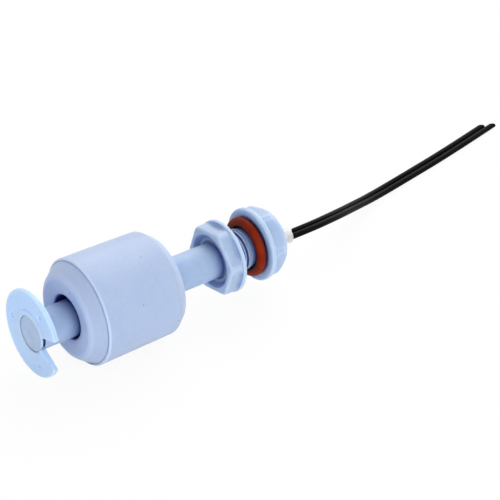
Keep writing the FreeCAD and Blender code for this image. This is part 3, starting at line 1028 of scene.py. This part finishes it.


# %% [markdown]
# ## Effects shared by the finishes
#
# Natural polypropylene is a milky plastic. Light goes a little way in, so thick and
# thin parts differ faintly. Recesses get a painted shade of fuller blue, outer edges
# a paler painted highlight and inner corners a fuller painted shade. The skin carries
# the fine texture of the mould, and a few specks sit in the surface. Clouds, skin,
# specks, the painted recess shade and the painted edge tones are each used by several
# finishes, so each is a group.

# %% Clouds: two tones that drift into each other
COLOUR, VALUE, NORMAL = "NodeSocketColor", "NodeSocketFloat", "NodeSocketVector"


def make_clouds():
    """Noise in object space mixes a light and a dark tone. Its middle range, one half
    less to one half plus the reach, is stretched to the full mix."""
    group, take, give = start_group("clouds", {
        "Light": (COLOUR, (1, 1, 1, 1)), "Dark": (COLOUR, (0.5, 0.5, 0.5, 1)),
        "Scale": (VALUE, 200.0), "Reach": (VALUE, 0.2),
    }, {"Colour": COLOUR, "Mask": VALUE})
    broad = noise(group, on_piece(group), take["Scale"], 3.0, 0.55)
    low = maths(group, "SUBTRACT", 0.5, take["Reach"])
    high = maths(group, "ADD", 0.5, take["Reach"])
    mask = spread(group, broad, low, high)
    colour = mix(group, mask, take["Dark"], take["Light"])
    plug(group, give, {"Colour": colour, "Mask": mask})
    return group


# %% Skin: the mould's fine texture
SLOW_SCALE = 500.0


def make_skin():
    """Noise as height for the normal, and a slower noise that moves the roughness a
    little either side of its value: the noise less one half, times the spread."""
    group, take, give = start_group("mould_skin", {
        "Grain": (VALUE, 4000.0), "Height": (VALUE, 0.01 * MM),
        "Roughness": (VALUE, 0.4), "Spread": (VALUE, 0.08),
    }, {"Roughness": VALUE, "Normal": NORMAL})
    where = on_piece(group)
    normal = bump(group, noise(group, where, take["Grain"], 2.0), take["Height"])
    off = maths(group, "SUBTRACT", noise(group, where, SLOW_SCALE, 2.0), 0.5)
    rough = maths(group, "MULTIPLY_ADD", off, take["Spread"], take["Roughness"])
    plug(group, give, {"Roughness": rough, "Normal": normal})
    return group


# %% Specks
SPECK_RIM = 1.6


def make_specks():
    """Small spots: cells of a Voronoi pattern, of which a random share keep a spot
    round their point. Colour is laid over the one that comes in."""
    group, take, give = start_group("specks", {
        "Colour": (COLOUR, (1, 1, 1, 1)), "Speck": (COLOUR, (0.1, 0.1, 0.1, 1)),
        "Scale": (VALUE, 400.0), "Size": (VALUE, 0.1), "Share": (VALUE, 0.3),
    }, {"Colour": COLOUR})
    cells = add(group, "ShaderNodeTexVoronoi", {
        "Vector": on_piece(group), "Scale": take["Scale"]}).outputs
    rim = maths(group, "MULTIPLY", take["Size"], SPECK_RIM)
    spot = spread(group, cells["Distance"], rim, take["Size"])
    chosen = maths(group, "LESS_THAN", cells["Color"], take["Share"])
    both = maths(group, "MULTIPLY", spot, chosen)
    plug(group, give, {"Colour": mix(group, both, take["Colour"], take["Speck"])})
    return group


# %% Painted shade in recesses
CLOSED_IN = 0.2


def make_painted_recess_shade():
    """Painted shade: a fuller, darker colour where the surroundings close in. The share
    of open directions within a distance falls from Open to the closed value, and the
    painted shade colour is mixed in as it does."""
    group, take, give = start_group("deep_recess", {
        "Colour": (COLOUR, (1, 1, 1, 1)), "Deep": (COLOUR, (0.2, 0.3, 0.6, 1)),
        "Distance": (VALUE, 3 * MM), "Strength": (VALUE, 1.0), "Open": (VALUE, 0.85),
    }, {"Colour": COLOUR})
    open_share = add(group, "ShaderNodeAmbientOcclusion", {
        "Distance": take["Distance"]}, samples=8).outputs["AO"]
    closed = spread(group, open_share, take["Open"], CLOSED_IN)
    share = maths(group, "MULTIPLY", closed, take["Strength"])
    plug(group, give, {"Colour": mix(group, share, take["Colour"], take["Deep"])})
    return group


# %% Painted edge highlight and corner shade
FLAT_BEND = 4.5
FULL_BEND = 12.0


def make_painted_edge_tones():
    """The piece's own bend attribute, in degrees, is positive on outer edges and
    negative in inner corners. Outer edges are mixed towards a painted highlight, inner
    corners towards a painted shade."""
    group, take, give = start_group("milky_edges", {
        "Colour": (COLOUR, (1, 1, 1, 1)), "Pale": (COLOUR, (1, 1, 1, 1)),
        "Full": (COLOUR, (0.3, 0.4, 0.7, 1)), "Strength": (VALUE, 0.6),
    }, {"Colour": COLOUR})
    bend = add(group, "ShaderNodeAttribute", attribute_name="bend").outputs["Fac"]
    colour = take["Colour"]
    for side, tone in ((1, "Pale"), (-1, "Full")):
        marked = spread(group, bend, side * FLAT_BEND, side * FULL_BEND)
        share = maths(group, "MULTIPLY", marked, take["Strength"])
        colour = mix(group, share, colour, take[tone])
    plug(group, give, {"Colour": colour})
    return group


# %% Building the effects
clouds, skin, specks = make_clouds(), make_skin(), make_specks()
# The first group paints shade into recesses, the second a highlight on outer edges and shade in
# inner corners.
depth, painted_edge_tones = make_painted_recess_shade(), make_painted_edge_tones()
print("effects:", [group.name for group in bpy.data.node_groups])


# %% Starting a material
def start_material(name, **constants):
    """A material with one Principled shader. Constants are set on its own sockets."""
    material = bpy.data.materials.new(name)
    material.use_nodes = True
    tree = material.node_tree
    shader = tree.nodes["Principled BSDF"]
    for label, value in constants.items():
        shader.inputs[label.replace("_", " ")].default_value = value
    return material, tree, shader


def place(tree, group, inputs):
    """Places a node group in a material's tree and hands back its outputs."""
    return add(tree, "ShaderNodeGroup", inputs, node_tree=group).outputs


def cloudy(tree, light, dark, scale, reach):
    """Clouds between two written colours."""
    return place(tree, clouds, {
        "Light": linear(light), "Dark": linear(dark), "Scale": scale, "Reach": reach})["Colour"]


def skinned(tree, shader, colour, grain, height, roughness, change):
    """Plugs a colour into the base colour, and a skin into roughness and normal."""
    finish = place(tree, skin, {
        "Grain": grain, "Height": height, "Roughness": roughness, "Spread": change})
    plug(tree, shader, {
        "Base Color": colour, "Roughness": finish["Roughness"], "Normal": finish["Normal"]})


# %% [markdown]
# ## Natural polypropylene
#
# Five mouldings share this finish with slightly different tones: the housing, the
# nut, the stop clip and the two halves of the float. A little subsurface light makes
# it milky; the rest is clouds, specks, a painted highlight on outer edges, painted
# shade in inner corners, a deeper blue painted shade in recesses, and the skin.


# %% Moulded plastics
def moulded_plastic(name, light, dark, edge_highlight, corner_shade, shade_and_speck, edge=0.4, recess=0.6, open_at=0.85,
                    reach=4.0 * MM, mottle=1500.0):
    """Broad clouds and a fine mottle, then specks, a painted highlight on outer edges,
    painted shade in inner corners and painted shade in recesses into the base colour;
    skin into roughness and normal."""
    material, tree, shader = start_material(
        name, Subsurface_Weight=0.8, Subsurface_Scale=1.4 * MM,
        Subsurface_Radius=(0.75, 0.9, 1.0), IOR=1.49, Specular_IOR_Level=0.4)
    broad = cloudy(tree, light, dark, 110.0, 0.35)
    fine = cloudy(tree, light, dark, mottle, 0.25)
    spotted = place(tree, specks, {
        "Colour": mix(tree, 0.5, broad, fine), "Speck": linear(shade_and_speck),
        "Scale": 420.0, "Size": 0.05, "Share": 0.2})
    # Painted highlight on outer edges and painted shade in inner corners.
    edged = place(tree, painted_edge_tones, {
        "Colour": spotted["Colour"], "Pale": linear(edge_highlight), "Full": linear(corner_shade),
        "Strength": edge})
    # Painted shade: recesses are mixed towards a darker, fuller blue.
    full = place(tree, depth, {
        "Colour": edged["Colour"], "Deep": linear(shade_and_speck),
        "Distance": reach, "Strength": recess, "Open": open_at})
    skinned(tree, shader, full["Colour"], 3500.0, 0.010 * MM, 0.45, 0.10)
    return material


# Five codes each: light and dark cloud tones, the painted highlight on outer edges, the painted
# shade in inner corners, and the painted shade in recesses, which also colours the specks. The edge
# value sets how strong the painted edge tones are, the recess value how strong the painted recess
# shade is.
plastics = {
    "housing_moulding": moulded_plastic(
        "housing_polypropylene", "B4C6E6", "A2BCDA", "D8E4F4", "88A4D0", "1C3A8C",
        edge=0.3, recess=1.0, reach=6.0 * MM, mottle=700.0),
    "flanged_nut": moulded_plastic(
        "nut_polypropylene", "B8C9E4", "A2BAD7", "DAE6F5", "8CA8D2", "345CA6",
        edge=0.25, recess=1.0, open_at=0.95, reach=5.0 * MM, mottle=600.0),
    "stop_clip": moulded_plastic(
        "clip_polypropylene", "BED8FB", "B2CFF6", "DCEAFF", "8CACDC", "6C8CC8",
        edge=0.25, recess=0.5),
    "float_cup": moulded_plastic(
        "float_polypropylene", "B6C6E3", "AABCDC", "D8E2F8", "8498CC", "182C84", recess=1.0),
    "float_end_cap": moulded_plastic(
        "cap_polypropylene", "B6C6E3", "AABCDC", "D8E2F8", "8498CC", "4A68B4"),
}
for name, material in plastics.items():
    bpy.data.objects[name].data.materials.append(material)
print("plastics:", len(plastics))

# %% [markdown]
# ## Silicone rubber
#
# The seal is red-brown silicone, a little uneven in tone, with a soft sheen. Where
# the ring meets its neighbours a near-black painted shade is laid on it.


# %% Seal rubber
def seal_rubber():
    """Clouds, then a near-black painted shade where the ring meets its neighbours, into
    the base colour; skin into roughness and normal."""
    material, tree, shader = start_material("seal_silicone", IOR=1.43, Specular_IOR_Level=0.12)
    # Painted shade: near-black where other parts close in round the ring.
    painted_contact_shade = place(tree, depth, {
        "Colour": cloudy(tree, "86280A", "701C04", 220.0, 0.25), "Deep": linear("1C0404"),
        "Distance": 1.6 * MM, "Strength": 1.0})
    skinned(tree, shader, painted_contact_shade["Colour"], 2500.0, 0.02 * MM, 0.5, 0.15)
    return material


ring.data.materials.append(seal_rubber())

# %% [markdown]
# ## Cast resin and lead insulation
#
# The resin sets smooth and glossy with a faint cloudiness. The leads' insulation is
# extruded, so its marks run along the wire: the pattern is laid on the UV map, wound
# into a circle so that it has no seam.


# %% Resin
def cast_resin():
    """Clouds into the base colour, a very fine skin, and a clear coat on top."""
    material, tree, shader = start_material(
        "cast_resin", IOR=1.52, Coat_Weight=0.2, Coat_Roughness=0.15,
        Subsurface_Weight=0.15, Subsurface_Scale=0.8 * MM)
    tones = cloudy(tree, "DCDCDA", "BCBDC0", 500.0, 0.2)
    skinned(tree, shader, tones, 900.0, 0.03 * MM, 0.3, 0.1)
    return material


resin.data.materials.append(cast_resin())


# %% Lead insulation
def lead_insulation():
    """Lengthwise marks: the way round is wound into a circle of cosine and sine, the
    way along is stretched, and a noise there gives tone, roughness and height."""
    material, tree, shader = start_material("lead_insulation", IOR=1.5, Specular_IOR_Level=0.04)
    uv = add(tree, "ShaderNodeUVMap", uv_map="surface").outputs["UV"]
    split = add(tree, "ShaderNodeSeparateXYZ", {"Vector": uv}).outputs
    turn = maths(tree, "MULTIPLY", split["X"], 2 * math.pi)
    wound = add(tree, "ShaderNodeCombineXYZ", {
        "X": maths(tree, "COSINE", turn), "Y": maths(tree, "SINE", turn),
        "Z": maths(tree, "MULTIPLY", split["Y"], 60.0)})
    marks = noise(tree, wound.outputs["Vector"], 5.0, 4.0, 0.6)
    colour = mix(tree, spread(tree, marks, 0.35, 0.7), linear("040405"), linear("0E0E10"))
    plug(tree, shader, {
        "Base Color": colour, "Roughness": spread(tree, marks, 0.3, 0.7, 0.38, 0.55),
        "Normal": bump(tree, marks, 0.02 * MM)})
    return material


insulation = lead_insulation()
for lead in leads.values():
    lead.data.materials.append(insulation)

# %% [markdown]
# ## Pieces inside
#
# The working parts lie inside the stem and the float: a sintered ring magnet, the
# glass contact with its two blades, soldered joints and shrunk sleeves. Their solids
# keep their CAD shape and get finishes of their own: speckled ferrite, faintly green
# glass, drawn metal that is streaked along the stem, dull solder and soft sleeving.


# %% Finishes of the inner pieces
def dull_finish(name, light, dark, scale, roughness, height, **constants):
    """Clouds into the base colour; skin, six times as fine, into roughness and normal."""
    material, tree, shader = start_material(name, **constants)
    skinned(tree, shader, cloudy(tree, light, dark, scale, 0.2),
            6.0 * scale, height, roughness, 0.15)
    return material


def drawn_metal(name, light, dark):
    """Streaks: the object's coordinates are squeezed along X before the noise, which
    mixes two tones and gives roughness and height."""
    material, tree, shader = start_material(name, Metallic=1.0)
    squeezed = add(tree, "ShaderNodeMapping", {"Vector": on_piece(tree), "Scale": (0.05, 1.0, 1.0)})
    streaks = noise(tree, squeezed.outputs["Vector"], 6000.0, 3.0, 0.6)
    plug(tree, shader, {
        "Base Color": mix(tree, spread(tree, streaks, 0.3, 0.7), linear(dark), linear(light)),
        "Roughness": spread(tree, streaks, 0.3, 0.7, 0.22, 0.4),
        "Normal": bump(tree, streaks, 0.003 * MM)})
    return material


nickel_iron = drawn_metal("nickel_iron", "D2CEC6", "A8A49C")
tinned_copper = drawn_metal("tinned_copper", "DCD6CC", "C0A890")
sleeving = dull_finish("shrunk_sleeving", "2A2C32", "1C1D22", 900.0, 0.5, 0.006 * MM, IOR=1.5)
solder = dull_finish("solder", "BEBFC2", "96989E", 1500.0, 0.35, 0.01 * MM, Metallic=1.0)
inner_finishes = {
    "ring_magnet": dull_finish("sintered_ferrite", "3C3C40", "28282C", 1200.0, 0.6, 0.02 * MM),
    "reed_glass": dull_finish("contact_glass", "D8EEDC", "C4E2CC", 400.0, 0.08, 0.002 * MM,
                              IOR=1.52, Transmission_Weight=1.0),
    "reed_blade_near": nickel_iron,
    "reed_blade_far": nickel_iron,
    "reed_sleeve": sleeving,
    "joint_sleeve": sleeving,
    "return_sleeve": sleeving,
    "conductor_a": tinned_copper,
    "conductor_b": tinned_copper,
    "solder_joint_a": solder,
    "solder_joint_b": solder,
}
for node, material in inner_finishes.items():
    inner = frame["nodes"][node]
    if not inner.material_slots:
        inner.data.materials.append(material)
    for material_slot in inner.material_slots:
        material_slot.material = material
print("inner pieces:", len(inner_finishes))

# %% [markdown]
# ## Floor and light
#
# The switch lies on a pale floor in plain soft studio light. The floor mixes its own
# shading with plain white for the camera only, so the background is white and the
# shadow stays soft. The sky is brighter at the height of the part on the viewer's
# side and dimmer overhead. A weak low lamp shines on the stop's end, and a stronger
# one from behind and above lights the upper sides.

# %% Floor
FLOOR_SIZE = 3.0


def make_floor():
    """A square floor at height 0, on which the switch lies."""
    half = FLOOR_SIZE / 2
    mesh = bpy.data.meshes.new("floor")
    corners = [(-half, -half, 0), (half, -half, 0), (half, half, 0), (-half, half, 0)]
    mesh.from_pydata(corners, [], [(0, 1, 2, 3)])
    floor = bpy.data.objects.new("floor", mesh)
    bpy.context.scene.collection.objects.link(floor)
    return floor


floor = make_floor()


# %% Background for the camera
def seen_directly(tree):
    """1 for what the camera, a reflection or a clear piece sees, 0 for light."""
    path = add(tree, "ShaderNodeLightPath").outputs
    first = maths(tree, "MAXIMUM", path["Is Camera Ray"], path["Is Glossy Ray"])
    return maths(tree, "MAXIMUM", first, path["Is Transmission Ray"])


# %% Floor material
FLOOR_WHITE = 0.93
FLOOR_TONES = (0.93, 0.96)


def floor_material():
    """Its own shading for light, mixed with plain white for the camera."""
    material, tree, shader = start_material("floor", Roughness=0.7, Specular_IOR_Level=0.2)
    paper = add(tree, "ShaderNodeTexNoise", {"Scale": 60.0, "Detail": 2.0}).outputs["Fac"]
    tone = spread(tree, paper, 0.2, 0.8, *FLOOR_TONES)
    tree.links.new(tone, shader.inputs["Base Color"])
    white = add(tree, "ShaderNodeEmission", {"Color": (1, 1, 1, 1), "Strength": 1.0})
    share = maths(tree, "MULTIPLY", seen_directly(tree), FLOOR_WHITE)
    both = add(tree, "ShaderNodeMixShader", {
        0: share, 1: shader.outputs["BSDF"], 2: white.outputs["Emission"]})
    out = tree.nodes["Material Output"]
    tree.links.new(both.outputs["Shader"], out.inputs["Surface"])
    return material


floor.data.materials.append(floor_material())

# %% World
SKY_BASE = 1.00
SKY_GAIN = 0.75
SKY_LOSS = 0.80
SKY_BRIGHT_SIDE = (-0.60, -0.78, 0.0)
SKY_DIM_SIDE = (-0.45, 0.05, 0.88)


def facing(tree, direction, towards):
    """How far a direction points towards a side: the product of the two, from a
    little behind level up to straight at it."""
    product = add(tree, "ShaderNodeVectorMath", {0: direction, 1: towards},
                  operation="DOT_PRODUCT")
    return spread(tree, product.outputs["Value"], -0.1, 1.0)


def make_world():
    """White all round where it is seen. Where it lights, it is brighter on one side
    and dimmer on another, as a room of soft boxes is."""
    world = bpy.data.worlds.new("studio")
    bpy.context.scene.world = world
    world.use_nodes = True
    tree = world.node_tree
    direction = add(tree, "ShaderNodeTexCoord").outputs["Generated"]
    bright = facing(tree, direction, SKY_BRIGHT_SIDE)
    dim = facing(tree, direction, SKY_DIM_SIDE)
    raised = maths(tree, "MULTIPLY_ADD", bright, SKY_GAIN, SKY_BASE)
    light = maths(tree, "MULTIPLY_ADD", dim, -SKY_LOSS, raised)
    strength = add(tree, "ShaderNodeMix", {0: seen_directly(tree), 2: light, 3: 1.0},
                   data_type="FLOAT")
    background = tree.nodes["Background"]
    background.inputs["Color"].default_value = (1, 1, 1, 1)
    tree.links.new(strength.outputs[0], background.inputs["Strength"])


make_world()

# %% Lamps
# Each lamp has the side it shines from, its strength, and its disc's width in degrees.
LAMPS = {
    "key": ((-0.75, -0.65, 0.08), 0.70, 60),
    "back": ((0.62, 0.45, 0.64), 1.90, 60),
}


def make_lamp(name, towards, strength, softness):
    """A distant lamp that shines from a direction, with a wide, soft disc."""
    data = bpy.data.lights.new(name, "SUN")
    data.energy = strength
    data.angle = math.radians(softness)
    lamp = bpy.data.objects.new(name, data)
    bpy.context.scene.collection.objects.link(lamp)
    lamp.location = towards
    lamp.rotation_mode = "QUATERNION"
    lamp.rotation_quaternion = Vector(towards).to_track_quat("Z", "Y")
    return lamp


for name, (towards, strength, softness) in LAMPS.items():
    make_lamp(name, towards, strength, softness)
print("lamps:", list(LAMPS))
